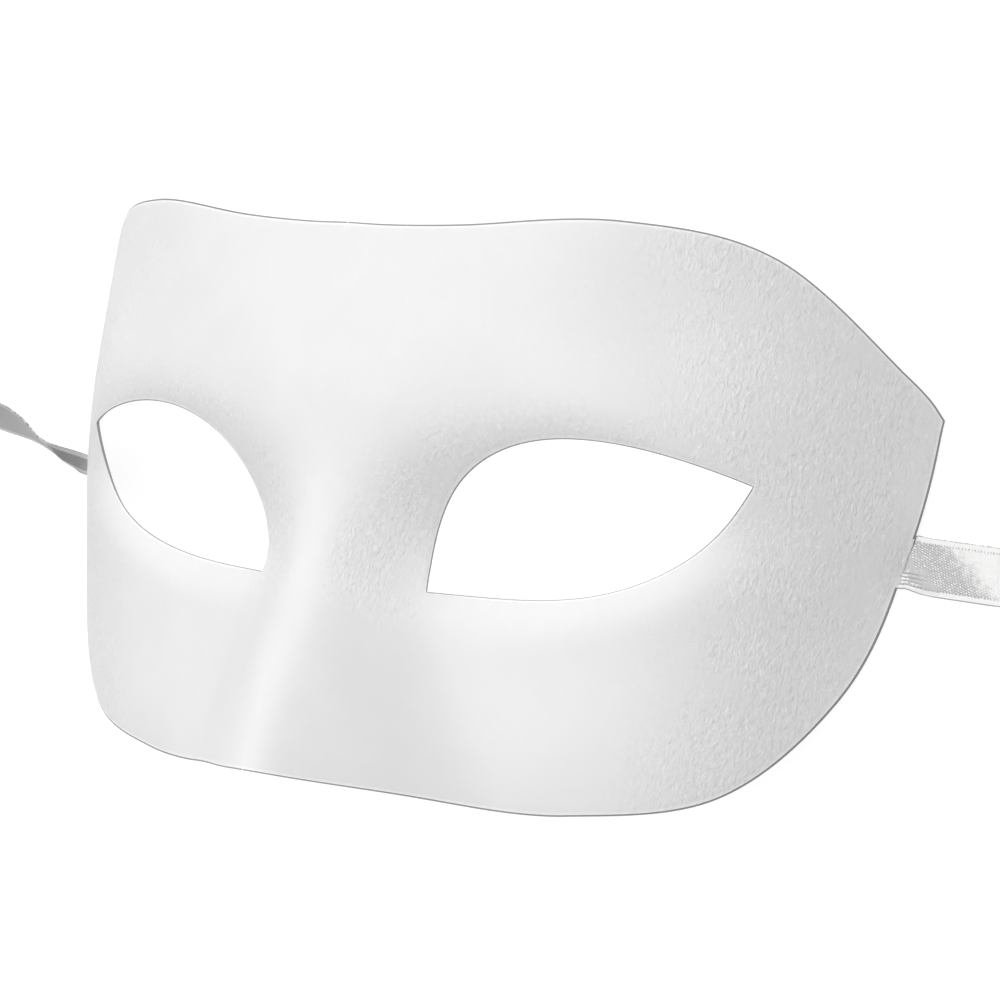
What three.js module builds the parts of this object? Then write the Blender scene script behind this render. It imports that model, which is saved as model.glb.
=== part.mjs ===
// A plain white half mask over brow, eyes and nose, with a satin ribbon glued behind each side.
// It lies face up on its side rims. Millimetres: +X to the viewer's right, +Y to the brow, +Z up out of the face.
// On the face itself, y is measured from the line through the outer corners of the eyes.

import * as THREE from "three";
import { mergeVertices } from "three/addons/utils/BufferGeometryUtils.js";

// Place of the face in the frame: the eye line, and how high z = 0 of the face lies above the table
const EYE_LINE_Y = 10.6;
const REST_LIFT = 40.22;

// Shell
const SHELL_THICKNESS = 0.5;
const HALF_WIDTH = 86;
const ROWS = 9; // from an eye opening out to the outline
const MERGE_DISTANCE = 1e-3; // shared points closer than this become one

// The face rises a little to the brow, and wraps round the head at the sides
const TILT = { slope: 0.281, bow: -0.00195 };
const WRAP = {
  deep: 38.5,
  deepSlope: 0.016,
  deepBow: 0.00283,
  deepPower: 3.6,
  shallow: 2.95,
  shallowSlope: 0.085,
};

// The nose is a tent that grows from its root to its lower end, with a rounded crest and a soft foot
const NOSE = {
  rootY: -7.9,
  endY: -50,
  endHeight: 21.65,
  rootSoftness: 0.187,
  sag: 0.77, // the ridge dips this much half way down
  sagReach: 0.3,
  flankSlope: 0.91,
  rootCrest: 7.5,
  endCrest: 4.4,
  rootFoot: 4,
  endFoot: 7.15,
  leastFoot: 0.5,
};

// Each eye sits in an oval socket under the brow
const SOCKET = {
  depth: 6.05,
  x: 35.4,
  y: -13.3,
  innerReach: 24.6,
  outerReach: 28.7,
  above: 12.85,
  below: 9.9,
  turn: 0.262,
  edge: 1.69,
  middleSoftness: 3, // the two sockets meet softly over the middle line
};

// Low swells and hollows, the same on both sides. A negative height is a hollow
const SWELLS = [
  { height: -5, x: 37.6, y: -24.6, reachX: 25.6, reachY: 21.4 }, // cheek beside the nose
  { height: -2.35, x: 53.6, y: 21.1, reachX: 18.1, reachY: 12.8 }, // outer brow
  { height: -1.55, x: 77.1, y: -8.5, reachX: 14, reachY: 20 }, // temple
  { height: 2, x: 12.9, y: 2.6, reachX: 10.4, reachY: 19.2 }, // between the brows
];

// The side rim arches off the table where the ribbon leaves
const SIDE_ARCH = { rise: 2.78, y: -4.1, reach: 14, power: 8 };

// Outline of the right half: brow edge from the middle to the temple tip, then side and lower edge
const TEMPLE_TIP = [HALF_WIDTH, 17.3];
const BROW_EDGE = [[0, 30.9], [21.5, 31.75], [46.8, 35.3], [66.7, 34.4], [82.1, 22.1], TEMPLE_TIP];
const LOWER_EDGE = [
  TEMPLE_TIP,
  [85, -3.1],
  [77.8, -28.2],
  [63.8, -46.8],
  [42.6, -53.9],
  [19.9, -55.8],
  [0, -57.1],
];

// Right eye opening: its two corners and the handles of its lids
const EYE_INNER_CORNER = [16.9, -23.5];
const EYE_OUTER_CORNER = [67, -0.1];
const UPPER_LID = [EYE_INNER_CORNER, [15.1, -15.8], [20.3, 10], EYE_OUTER_CORNER];
const LOWER_LID = [EYE_OUTER_CORNER, [56.7, -22.9], [35.8, -21.2], EYE_INNER_CORNER];

// Steps round the opening, matched to the stretches of the outline: up the middle line, along the brow
// edge, round the side and lower edge, and up the middle line again
const STEPS = { middleUp: 14, brow: 30, lower: 40, middleDown: 10 };

// Ribbons
const RIBBON_WIDTH = 9;
const RIBBON_THICKNESS = 0.3;
const TABLE_GAP = 0.05; // a ribbon lies this far above the table
const GLUE_TAB = { fromX: 74, toX: 82.2, y: 4.7, steps: 6, columns: 4, clearance: 0.35 };

// Routes over the table: x, y, turn in degrees about the ribbon's own line, and share of the width that
// is open. Turn 0 lies flat and 90 stands on its edge
const RIGHT_ROUTE = [
  [83.3, 5.4, 0, 0.92],
  [86.5, 5.1, 0, 0.95],
  [91, 4.8, 0, 1],
  [95, 4.6, 0, 1],
  [99, 4.5, 0, 1],
  [102, 4.5, 2, 1],
  [105, 4.5, 8, 1],
  [108, 4.5, 17, 1],
  [111, 4.5, 28, 1],
  [114, 4.5, 40, 1],
  [117, 4.5, 52, 1],
  [120, 4.5, 64, 1],
  [123, 4.5, 74, 1],
  [126, 4.5, 82, 1],
  [129, 4.5, 88, 1],
  [132, 4.5, 90, 1],
];
const LEFT_ROUTE = [
  [-83.4, 6.5, 0, 0.45],
  [-85.4, 6.65, 2, 0.45],
  [-88, 7.1, 75, 0.6],
  [-92, 8.2, 95, 0.9],
  [-94, 8.6, 93, 0.9],
  [-97, 9.8, 93, 1],
  [-100, 11.1, 101, 1],
  [-103, 12.1, 109, 1],
  [-107, 13.2, 116, 1],
  [-110, 14, 117, 1],
  [-112, 14.6, 118, 1],
  [-114, 15.2, 117, 1],
  [-117, 16.1, 112, 1],
  [-120, 16.9, 106, 1],
  [-122, 17.5, 102, 1],
  [-124, 18, 97, 1],
  [-126, 18.5, 93, 1],
  [-128, 19, 90, 1],
];

// The rest of each ribbon is rolled up on its edge. Its stretch runs into the roll along a tangent
const ROLL = { outerRadius: 30.2, innerRadius: 19.8, height: RIBBON_WIDTH, segments: 40 };
const RIGHT_ROLL_CENTRE = [140, -25.2];
const LEFT_ROLL_CENTRE = [-143.5, -7.6];

// Height of the face

function softRamp(value, softness) {
  return (value + Math.hypot(value, softness)) / 2;
}

function bell(distance, reach) {
  return Math.exp(-((distance / reach) ** 2));
}

function noseHeight(x, y) {
  const along = (NOSE.rootY - y) / (NOSE.rootY - NOSE.endY);
  const rise = NOSE.endHeight * softRamp(along, NOSE.rootSoftness);
  const ridge = rise - NOSE.sag * bell(along - 0.5, NOSE.sagReach);
  const crest = NOSE.rootCrest + (NOSE.endCrest - NOSE.rootCrest) * along;
  const foot = NOSE.rootFoot + (NOSE.endFoot - NOSE.rootFoot) * along;
  const fall = NOSE.flankSlope * (Math.hypot(x, crest) - crest);
  return softRamp(ridge - fall, Math.max(foot, NOSE.leastFoot));
}

function socketDepth(x, y) {
  const dx = Math.hypot(x, SOCKET.middleSoftness) - SOCKET.x;
  const dy = y - SOCKET.y;
  const along = dx * Math.cos(SOCKET.turn) + dy * Math.sin(SOCKET.turn);
  const across = dy * Math.cos(SOCKET.turn) - dx * Math.sin(SOCKET.turn);
  const reachAlong = along > 0 ? SOCKET.outerReach : SOCKET.innerReach;
  const reachAcross = across > 0 ? SOCKET.above : SOCKET.below;
  const radius = (along / reachAlong) ** 2 + (across / reachAcross) ** 2;
  return SOCKET.depth * Math.exp(-(radius ** SOCKET.edge));
}

function swellHeight(x, y) {
  let total = 0;
  for (const swell of SWELLS) {
    const bothSides = bell(x - swell.x, swell.reachX) + bell(x + swell.x, swell.reachX);
    total += swell.height * bothSides * bell(y - swell.y, swell.reachY);
  }
  return total;
}

function faceHeight(x, y) {
  const side = Math.abs(x) / HALF_WIDTH;
  const tilt = TILT.slope * y + TILT.bow * y ** 2;
  const deep = WRAP.deep + WRAP.deepSlope * y + WRAP.deepBow * y ** 2;
  const shallow = WRAP.shallow + WRAP.shallowSlope * y;
  const wrap = deep * side ** WRAP.deepPower + shallow * side ** 2;
  const arch = SIDE_ARCH.rise * bell(y - SIDE_ARCH.y, SIDE_ARCH.reach);
  const relief = noseHeight(x, y) - socketDepth(x, y) + swellHeight(x, y);
  return tilt - wrap + relief + arch * side ** SIDE_ARCH.power;
}

// A point of the wall, depth below the outer surface and square to it
function wallPoint(x, y, depth) {
  const step = 0.05;
  const slopeX = (faceHeight(x + step, y) - faceHeight(x - step, y)) / (2 * step);
  const slopeY = (faceHeight(x, y + step) - faceHeight(x, y - step)) / (2 * step);
  const normal = new THREE.Vector3(-slopeX, -slopeY, 1).normalize();
  const surface = new THREE.Vector3(x, y + EYE_LINE_Y, faceHeight(x, y) + REST_LIFT);
  return surface.addScaledVector(normal, -depth);
}

// Evenly spaced points along part of a curve, both ends included
function evenPoints(curve, from, steps) {
  const fine = 400;
  const dense = [];
  for (let i = 0; i <= fine; i++) dense.push(curve.getPoint(from + ((1 - from) * i) / fine));
  const lengths = [0];
  for (let i = 1; i <= fine; i++) lengths.push(lengths[i - 1] + dense[i].distanceTo(dense[i - 1]));
  const points = [];
  for (let i = 0, k = 0; i <= steps; i++) {
    const wanted = (lengths[fine] * i) / steps;
    while (k < fine - 1 && lengths[k + 1] < wanted) k++;
    const share = (wanted - lengths[k]) / (lengths[k + 1] - lengths[k]);
    points.push(dense[k].clone().lerp(dense[k + 1], share));
  }
  return points;
}

function vectors(pairs) {
  return pairs.map(([x, y]) => new THREE.Vector2(x, y));
}

// A smooth edge that crosses the middle line level: it is drawn from its mirrored second point
function edgeFromMiddle(pairs, steps) {
  const mirrored = [-pairs[1][0], pairs[1][1]];
  const curve = new THREE.SplineCurve(vectors([mirrored, ...pairs]));
  return evenPoints(curve, 1 / pairs.length, steps);
}

function middleLine(fromY, toY, steps) {
  return evenPoints(new THREE.LineCurve(new THREE.Vector2(0, fromY), new THREE.Vector2(0, toY)), 0, steps);
}

// Two closed loops of matching points: round the eye opening, and round the right half's outline
function matchingLoops() {
  const upper = new THREE.CubicBezierCurve(...vectors(UPPER_LID));
  const lower = new THREE.CubicBezierCurve(...vectors(LOWER_LID));
  const opening = [
    ...evenPoints(upper, 0, STEPS.middleUp + STEPS.brow).slice(0, -1),
    ...evenPoints(lower, 0, STEPS.lower + STEPS.middleDown).slice(0, -1),
  ];
  const middleY = EYE_INNER_CORNER[1];
  const outline = [
    ...middleLine(middleY, BROW_EDGE[0][1], STEPS.middleUp).slice(0, -1),
    ...edgeFromMiddle(BROW_EDGE, STEPS.brow).slice(0, -1),
    ...edgeFromMiddle([...LOWER_EDGE].reverse(), STEPS.lower).reverse().slice(0, -1),
    ...middleLine(LOWER_EDGE.at(-1)[1], middleY, STEPS.middleDown).slice(0, -1),
  ];
  return { opening, outline };
}

function solidFromFaces(points, faces) {
  const geometry = new THREE.BufferGeometry();
  geometry.setAttribute(
    "position",
    new THREE.Float32BufferAttribute(points.flatMap((p) => p.toArray()), 3),
  );
  geometry.setIndex(faces.flatMap(([a, b, c, d]) => [a, b, c, a, c, d]));
  const merged = mergeVertices(geometry, MERGE_DISTANCE);
  merged.computeVertexNormals();
  return merged;
}

// The shell: an outer and an inner skin, joined round both eye openings and the outline
function shellGeometry() {
  const { opening, outline } = matchingLoops();
  const count = opening.length;
  const firstRimStep = STEPS.middleUp;
  const lastRimStep = STEPS.middleUp + STEPS.brow + STEPS.lower;
  const points = [];
  const faces = [];
  for (const side of [1, -1]) {
    const first = points.length;
    const at = (row, step, skin) => first + (row * count + (step % count)) * 2 + skin;
    const face = (a, b, c, d) => faces.push(side > 0 ? [a, b, c, d] : [d, c, b, a]);
    for (let row = 0; row <= ROWS; row++)
      for (let step = 0; step < count; step++) {
        const spot = opening[step].clone().lerp(outline[step], row / ROWS);
        points.push(wallPoint(side * spot.x, spot.y, 0), wallPoint(side * spot.x, spot.y, SHELL_THICKNESS));
      }
    for (let step = 0; step < count; step++) {
      const next = step + 1;
      for (let row = 0; row < ROWS; row++) {
        face(at(row, step, 0), at(row, next, 0), at(row + 1, next, 0), at(row + 1, step, 0));
        face(at(row, step, 1), at(row + 1, step, 1), at(row + 1, next, 1), at(row, next, 1));
      }
      face(at(0, next, 0), at(0, step, 0), at(0, step, 1), at(0, next, 1));
      if (step >= firstRimStep && step < lastRimStep)
        face(at(ROWS, step, 0), at(ROWS, next, 0), at(ROWS, next, 1), at(ROWS, step, 1));
    }
  }
  return solidFromFaces(points, faces);
}

// A closed sheet between two grids of points, upper and lower, each a list of rows
function sheetGeometry(upper, lower) {
  const rows = upper.length;
  const columns = upper[0].length;
  const points = [...upper.flat(), ...lower.flat()];
  const at = (row, column, skin) => skin * rows * columns + row * columns + column;
  const faces = [];
  for (let row = 0; row < rows - 1; row++)
    for (let column = 0; column < columns - 1; column++) {
      const [r, c] = [row + 1, column + 1];
      faces.push([at(row, column, 0), at(r, column, 0), at(r, c, 0), at(row, c, 0)]);
      faces.push([at(row, column, 1), at(row, c, 1), at(r, c, 1), at(r, column, 1)]);
    }
  for (let row = 0; row < rows - 1; row++) {
    const last = columns - 1;
    faces.push([at(row, 0, 0), at(row, 0, 1), at(row + 1, 0, 1), at(row + 1, 0, 0)]);
    faces.push([at(row, last, 0), at(row + 1, last, 0), at(row + 1, last, 1), at(row, last, 1)]);
  }
  for (let column = 0; column < columns - 1; column++) {
    const last = rows - 1;
    faces.push([at(0, column, 0), at(0, column + 1, 0), at(0, column + 1, 1), at(0, column, 1)]);
    faces.push([at(last, column, 0), at(last, column, 1), at(last, column + 1, 1), at(last, column + 1, 0)]);
  }
  return solidFromFaces(points, faces);
}

// The end of a ribbon, glued flat to the inner face just inside the rim
function glueTabGeometry(side) {
  const upper = [];
  const lower = [];
  for (let row = 0; row <= GLUE_TAB.steps; row++) {
    const x = side * (GLUE_TAB.fromX + ((GLUE_TAB.toX - GLUE_TAB.fromX) * row) / GLUE_TAB.steps);
    const depth = SHELL_THICKNESS + GLUE_TAB.clearance;
    const columns = [...Array(GLUE_TAB.columns + 1).keys()];
    const ys = columns.map((c) => GLUE_TAB.y - EYE_LINE_Y + side * RIBBON_WIDTH * (c / GLUE_TAB.columns - 0.5));
    upper.push(ys.map((y) => wallPoint(x, y, depth)));
    lower.push(ys.map((y) => wallPoint(x, y, depth + RIBBON_THICKNESS)));
  }
  return sheetGeometry(upper, lower);
}

// The stretch of a ribbon from the rim to its roll. A folded part is narrower and twice as thick
function ribbonGeometry(route) {
  const centres = route.map(([x, y, turn, open]) => {
    const rise = (open * RIBBON_WIDTH * Math.sin(THREE.MathUtils.degToRad(turn))) / 2;
    return new THREE.Vector3(x, y, rise + RIBBON_THICKNESS / open / 2 + TABLE_GAP);
  });
  const curve = new THREE.CatmullRomCurve3(centres);
  const upper = [];
  const lower = [];
  route.forEach(([, , turn, open], i) => {
    const along = curve.getTangent(i / (route.length - 1)).setZ(0).normalize();
    const across = new THREE.Vector3(0, 0, 1).cross(along);
    const normal = new THREE.Vector3(0, 0, 1);
    const angle = THREE.MathUtils.degToRad(turn);
    across.applyAxisAngle(along, angle).multiplyScalar((open * RIBBON_WIDTH) / 2);
    normal.applyAxisAngle(along, angle).multiplyScalar(RIBBON_THICKNESS / open / 2);
    const corner = (a, n) => centres[i].clone().addScaledVector(across, a).addScaledVector(normal, n);
    upper.push([corner(-1, 1), corner(1, 1)]);
    lower.push([corner(-1, -1), corner(1, -1)]);
  });
  return sheetGeometry(upper, lower);
}

// The put-away length of a ribbon, wound on its edge into a round roll
function rollGeometry() {
  const base = TABLE_GAP;
  const top = TABLE_GAP + ROLL.height;
  const profile = vectors([
    [ROLL.innerRadius, base],
    [ROLL.outerRadius, base],
    [ROLL.outerRadius, top],
    [ROLL.innerRadius, top],
    [ROLL.innerRadius, base],
  ]);
  const geometry = new THREE.LatheGeometry(profile, ROLL.segments);
  geometry.rotateX(Math.PI / 2);
  return geometry;
}

// Materials
const whitePlastic = new THREE.MeshStandardMaterial({ color: 0xf2f2ef, roughness: 0.5, metalness: 0 });
const whiteSatin = new THREE.MeshStandardMaterial({ color: 0xeeeeeb, roughness: 0.35, metalness: 0 });

const mask = new THREE.Group();

function add(name, geometry, material, x = 0, y = 0) {
  const mesh = new THREE.Mesh(geometry, material);
  mesh.name = name;
  mesh.position.set(x, y, 0);
  mask.add(mesh);
}

add("mask_shell", shellGeometry(), whitePlastic);
add("ribbon_end_right", glueTabGeometry(1), whiteSatin);
add("ribbon_end_left", glueTabGeometry(-1), whiteSatin);
add("ribbon_right", ribbonGeometry(RIGHT_ROUTE), whiteSatin);
add("ribbon_left", ribbonGeometry(LEFT_ROUTE), whiteSatin);
add("ribbon_roll_right", rollGeometry(), whiteSatin, ...RIGHT_ROLL_CENTRE);
add("ribbon_roll_left", rollGeometry(), whiteSatin, ...LEFT_ROLL_CENTRE);

export default mask;
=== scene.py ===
"""A plain white half mask lying face up on a pale floor, with a satin ribbon glued behind each side.

Metres throughout: +X to the viewer's right, +Y to the brow, +Z up out of the face. On the face itself, y is
measured from the line through the outer corners of the eyes, as in the part's source.
"""

import logging
import math
from dataclasses import dataclass, field
from enum import Enum
from typing import Callable, Sequence, TypeVar

import bpy
from mathutils import Matrix, Vector

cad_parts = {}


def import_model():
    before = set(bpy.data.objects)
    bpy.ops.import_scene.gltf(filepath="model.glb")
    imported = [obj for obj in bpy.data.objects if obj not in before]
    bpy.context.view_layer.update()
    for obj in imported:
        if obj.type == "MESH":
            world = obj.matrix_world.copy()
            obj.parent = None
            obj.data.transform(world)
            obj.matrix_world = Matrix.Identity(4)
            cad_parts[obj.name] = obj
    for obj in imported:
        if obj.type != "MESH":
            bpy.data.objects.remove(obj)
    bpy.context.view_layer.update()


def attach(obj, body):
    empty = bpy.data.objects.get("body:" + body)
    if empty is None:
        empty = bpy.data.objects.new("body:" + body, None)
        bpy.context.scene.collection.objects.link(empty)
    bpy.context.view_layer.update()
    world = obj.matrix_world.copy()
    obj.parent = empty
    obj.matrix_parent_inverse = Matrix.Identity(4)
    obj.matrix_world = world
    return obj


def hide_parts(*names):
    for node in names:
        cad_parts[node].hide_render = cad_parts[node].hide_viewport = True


LOG = logging.getLogger("mask")
BODY = "root"
MILLIMETRE = 0.001
SMOOTH_DEGREES = 50.0
WHITE = (1.0, 1.0, 1.0, 1.0)
BLACK = (0.0, 0.0, 0.0, 1.0)

Point2 = tuple[float, float]
Colour = tuple[float, float, float, float]
Output = bpy.types.NodeSocket
NodeInput = float | Sequence[float] | bpy.types.NodeSocket
Amount = TypeVar("Amount", float, Vector)


class Slot(Enum):
    """The record's material slots."""

    PLASTIC = "white_plastic"
    SATIN = "white_satin"


class Side(Enum):
    """The two sides of the mask, as the viewer sees them."""

    RIGHT = 1
    LEFT = -1


class Winding(Enum):
    """Which way a roll winds, seen from above."""

    COUNTER_CLOCKWISE = 1
    CLOCKWISE = -1


# Small helpers


def lerp(a: float, b: float, share: float) -> float:
    """Returns the value share of the way from a to b."""
    return a + (b - a) * share


def smooth_rise(value: float, start: float, end: float) -> float:
    """Returns 0 up to start and 1 from end on, with a smooth rise between."""
    share = min(max((value - start) / (end - start), 0.0), 1.0)
    return share * share * (3 - 2 * share)


def soft_ramp(value: float, softness: float) -> float:
    """Returns value where it is well above zero and nearly zero below, with a soft turn between."""
    return (value + math.hypot(value, softness)) / 2


def hermite(start: Amount, end: Amount, leave: Amount, arrive: Amount, share: float) -> Amount:
    """Finds a place on the smooth curve between two ends.

    Args:
        start: the number or point where the curve starts.
        end: where it ends.
        leave: its slope at the start.
        arrive: its slope at the end.
        share: the way from start to end, 0 to 1.

    Returns:
        The number or point there.
    """
    cubic = 2 * start - 2 * end + leave + arrive
    square = -3 * start + 3 * end - 2 * leave - arrive
    return cubic * share**3 + square * share**2 + leave * share + start


def catmull_rom(values: Sequence[float], share: float) -> float:
    """Returns the smooth value share of the way from the second to the third of four values."""
    before, start, end, after = values
    return hermite(start, end, (end - before) / 2, (after - start) / 2, share)


def along_rows(rows: Sequence[Sequence[float]], position: float) -> list[float]:
    """Returns the row of smooth values at a position along rows of numbers.

    Args:
        rows: rows of equal length.
        position: 0 at the first row, len(rows) - 1 at the last.

    Returns:
        One value for each column.
    """
    last = len(rows) - 1
    whole = min(int(position), last - 1)
    picks = [rows[min(max(whole + k, 0), last)] for k in (-1, 0, 1, 2)]
    return [catmull_rom(column, position - whole) for column in zip(*picks)]


def even_points(curve: Callable[[float], Point2], start: float, steps: int, fine: int = 800) -> list[Point2]:
    """Spaces points evenly along part of a curve.

    Args:
        curve: gives the point at a share from 0 to 1.
        start: the share to start from; the last point is at 1.
        steps: how many steps lie between the first point and the last.
        fine: how many short steps measure the curve's length.

    Returns:
        steps + 1 points, both ends included.
    """
    dense = [curve(lerp(start, 1, i / fine)) for i in range(fine + 1)]
    lengths = [0.0]
    for a, b in zip(dense, dense[1:]):
        lengths.append(lengths[-1] + math.dist(a, b))
    points, k = [], 0
    for i in range(steps + 1):
        wanted = lengths[-1] * i / steps
        while k < fine - 1 and lengths[k + 1] < wanted:
            k += 1
        share = (wanted - lengths[k]) / (lengths[k + 1] - lengths[k])
        a, b = dense[k], dense[k + 1]
        points.append((lerp(a[0], b[0], share), lerp(a[1], b[1], share)))
    return points


def select_only(piece: bpy.types.Object) -> None:
    """Makes a piece the one selected and active object.

    Args:
        piece: the object.
    """
    bpy.ops.object.select_all(action="DESELECT")
    piece.select_set(True)
    bpy.context.view_layer.objects.active = piece


def apply_modifier(piece: bpy.types.Object, kind: str, **settings: object) -> None:
    """Adds one modifier to a piece and applies it.

    Args:
        piece: the mesh object.
        kind: Blender's name for the modifier's type.
        **settings: the modifier's properties.
    """
    select_only(piece)
    modifier = piece.modifiers.new(kind.title(), kind)
    for name, value in settings.items():
        setattr(modifier, name, value)
    bpy.ops.object.modifier_apply(modifier=modifier.name)


def edit_whole(piece: bpy.types.Object, operator: Callable[..., object], **settings: object) -> None:
    """Runs an operator in edit mode with the whole mesh of a piece selected.

    Args:
        piece: the mesh object.
        operator: the operator.
        **settings: the operator's properties.
    """
    select_only(piece)
    bpy.ops.object.mode_set(mode="EDIT")
    bpy.ops.mesh.select_all(action="SELECT")
    operator(**settings)
    bpy.ops.object.mode_set(mode="OBJECT")


def face_upwards(piece: bpy.types.Object) -> None:
    """Turns the faces of an open sheet so that they agree and face upwards on the whole.

    Args:
        piece: the mesh object.
    """
    edit_whole(piece, bpy.ops.mesh.normals_make_consistent, inside=False)
    if sum(face.normal.z * face.area for face in piece.data.polygons) < 0:
        piece.data.flip_normals()


def shade_smooth(piece: bpy.types.Object) -> None:
    """Shades a piece smooth, except across its sharp edges."""
    select_only(piece)
    bpy.ops.object.shade_smooth_by_angle(angle=math.radians(SMOOTH_DEGREES))


def bent_grid(
    name: str,
    columns: int,
    rows: int,
    place: Callable[[float, float], Vector],
) -> bpy.types.Object:
    """Adds a flat grid and puts each of its vertices in its place.

    Args:
        name: the new object's name.
        columns: how many faces the grid has along its first direction.
        rows: how many faces it has along its second direction.
        place: gives a vertex's place from its shares along the two directions, 0 to 1.

    Returns:
        The mesh object, with a UV map that holds the two shares.
    """
    bpy.ops.object.select_all(action="DESELECT")
    bpy.ops.mesh.primitive_grid_add(x_subdivisions=columns, y_subdivisions=rows, size=2, location=(0, 0, 0))
    piece = bpy.context.object
    piece.name = name
    for vertex in piece.data.vertices:
        across, along = (vertex.co.x + 1) / 2, (vertex.co.y + 1) / 2
        vertex.co = place(across, along)
    return piece


# Finishes


@dataclass(frozen=True)
class Ramp:
    """A smooth change from one value to another, while what drives it goes from low to high."""

    low: float
    high: float
    to_low: float = 0.0
    to_high: float = 1.0


@dataclass(frozen=True)
class Noise:
    """A soft random pattern. Its scale counts waves to the unit of place."""

    scale: float
    detail: float = 2.0
    roughness: float = 0.6
    distortion: float = 0.0


@dataclass(frozen=True)
class NodeWriter:
    """Adds and links the nodes of one material."""

    tree: bpy.types.NodeTree

    def add(
        self,
        kind: str,
        inputs: dict[str | int, NodeInput] | None = None,
        **settings: object,
    ) -> bpy.types.Node:
        """Adds a node.

        Args:
            kind: Blender's name for the node's type, without the leading ShaderNode.
            inputs: values or outputs of other nodes for its inputs, by name or number.
            **settings: the node's properties.

        Returns:
            The new node.
        """
        node = self.tree.nodes.new("ShaderNode" + kind)
        for name, value in settings.items():
            setattr(node, name, value)
        for key, value in (inputs or {}).items():
            socket = node.inputs[key]
            if isinstance(value, bpy.types.NodeSocket):
                self.tree.links.new(value, socket)
            else:
                socket.default_value = value
        return node

    def join(self, source: Output, node: bpy.types.Node, name: str) -> None:
        """Links an output to an input of a node."""
        self.tree.links.new(source, node.inputs[name])

    def maths(self, operation: str, a: NodeInput, b: NodeInput = 0.0, c: NodeInput = 0.0) -> Output:
        """Returns the result of a Math node on up to three values."""
        return self.add("Math", {0: a, 1: b, 2: c}, operation=operation).outputs[0]

    def blend(self, share: NodeInput, first: NodeInput, second: NodeInput) -> Output:
        """Returns the colour share of the way from first to second."""
        node = self.add("Mix", {0: share, 6: first, 7: second}, data_type="RGBA")
        return node.outputs[2]

    def ramp(self, value: NodeInput, ramp: Ramp) -> Output:
        """Returns what a ramp makes of a value."""
        inputs = {0: value, 1: ramp.low, 2: ramp.high, 3: ramp.to_low, 4: ramp.to_high}
        return self.add("MapRange", inputs, interpolation_type="SMOOTHSTEP").outputs[0]

    def noise(self, place: Output, noise: Noise) -> Output:
        """Writes a random pattern.

        Args:
            place: the place to read the pattern at.
            noise: the pattern.

        Returns:
            A value from 0 to 1.
        """
        inputs = {
            "Vector": place,
            "Scale": noise.scale,
            "Detail": noise.detail,
            "Roughness": noise.roughness,
            "Distortion": noise.distortion,
        }
        return self.add("TexNoise", inputs).outputs["Fac"]


def new_material(name: str) -> tuple[bpy.types.Material, NodeWriter, bpy.types.Node]:
    """Adds a material.

    Args:
        name: its name.

    Returns:
        The material, its writer and its Principled shader.
    """
    material = bpy.data.materials.new(name)
    material.use_nodes = True
    shader = material.node_tree.nodes["Principled BSDF"]
    return material, NodeWriter(material.node_tree), shader


@dataclass(frozen=True)
class PlasticFinish:
    """Matte white moulded plastic with fine short creases like leather.

    The creases and specks show where the shell's own attribute "grain" is above zero, and a painted
    highlight, a paler line, follows its trimmed edges, where its attribute "rim" is 1.
    """

    name: str = "white_plastic"
    light: Colour = (0.87, 0.87, 0.868, 1.0)
    dark: Colour = (0.85, 0.85, 0.848, 1.0)
    pale_speck: Colour = (0.94, 0.94, 0.94, 1.0)
    dark_speck: Colour = (0.79, 0.79, 0.79, 1.0)
    # Painted highlight along the trimmed edges
    rim_highlight: Colour = (0.99, 0.99, 0.99, 1.0)
    specular: float = 0.4
    stretch: tuple[float, float, float] = (1.0, 0.55, 1.0)
    creases: Noise = Noise(1600.0, 3.0, distortion=0.5)
    crease_depth: float = 0.00026
    specks: Noise = Noise(1500.0)
    mottle: Noise = Noise(90.0, 4.0)
    patches: Ramp = Ramp(0.33, 0.53, 0.25, 1.0)
    lightness: Ramp = Ramp(0.35, 0.7)
    pale_specks: Ramp = Ramp(0.56, 0.72)
    dark_specks: Ramp = Ramp(0.44, 0.3)
    rim_line: Ramp = Ramp(0.5, 1.0)
    roughness: Ramp = Ramp(0.3, 0.7, 0.44, 0.52)

    def build(self) -> bpy.types.Material:
        """Makes the material.

        Returns:
            The material.
        """
        material, write, shader = new_material(self.name)
        place = write.add("TexCoord").outputs["Object"]
        drawn = write.add("Mapping", {"Vector": place, "Scale": self.stretch}).outputs[0]
        grain = write.add("Attribute", attribute_name="grain").outputs["Fac"]
        rim = write.add("Attribute", attribute_name="rim").outputs["Fac"]
        creases = write.noise(drawn, self.creases)
        specks = write.noise(drawn, self.specks)
        mottle = write.noise(place, self.mottle)
        patches = write.maths("MULTIPLY", grain, write.ramp(mottle, self.patches))
        bump = write.add("Bump", {"Height": creases, "Strength": patches, "Distance": self.crease_depth})
        shade = write.blend(write.ramp(mottle, self.lightness), self.dark, self.light)
        pale = write.maths("MULTIPLY", patches, write.ramp(specks, self.pale_specks))
        dark = write.maths("MULTIPLY", patches, write.ramp(specks, self.dark_specks))
        specked = write.blend(dark, write.blend(pale, shade, self.pale_speck), self.dark_speck)
        # Painted highlight: the trimmed edges are lightened as if the rim catches the light
        finished = write.blend(write.ramp(rim, self.rim_line), specked, self.rim_highlight)
        write.join(finished, shader, "Base Color")
        write.join(write.ramp(mottle, self.roughness), shader, "Roughness")
        write.join(bump.outputs["Normal"], shader, "Normal")
        shader.inputs["Specular IOR Level"].default_value = self.specular
        return material


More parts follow.
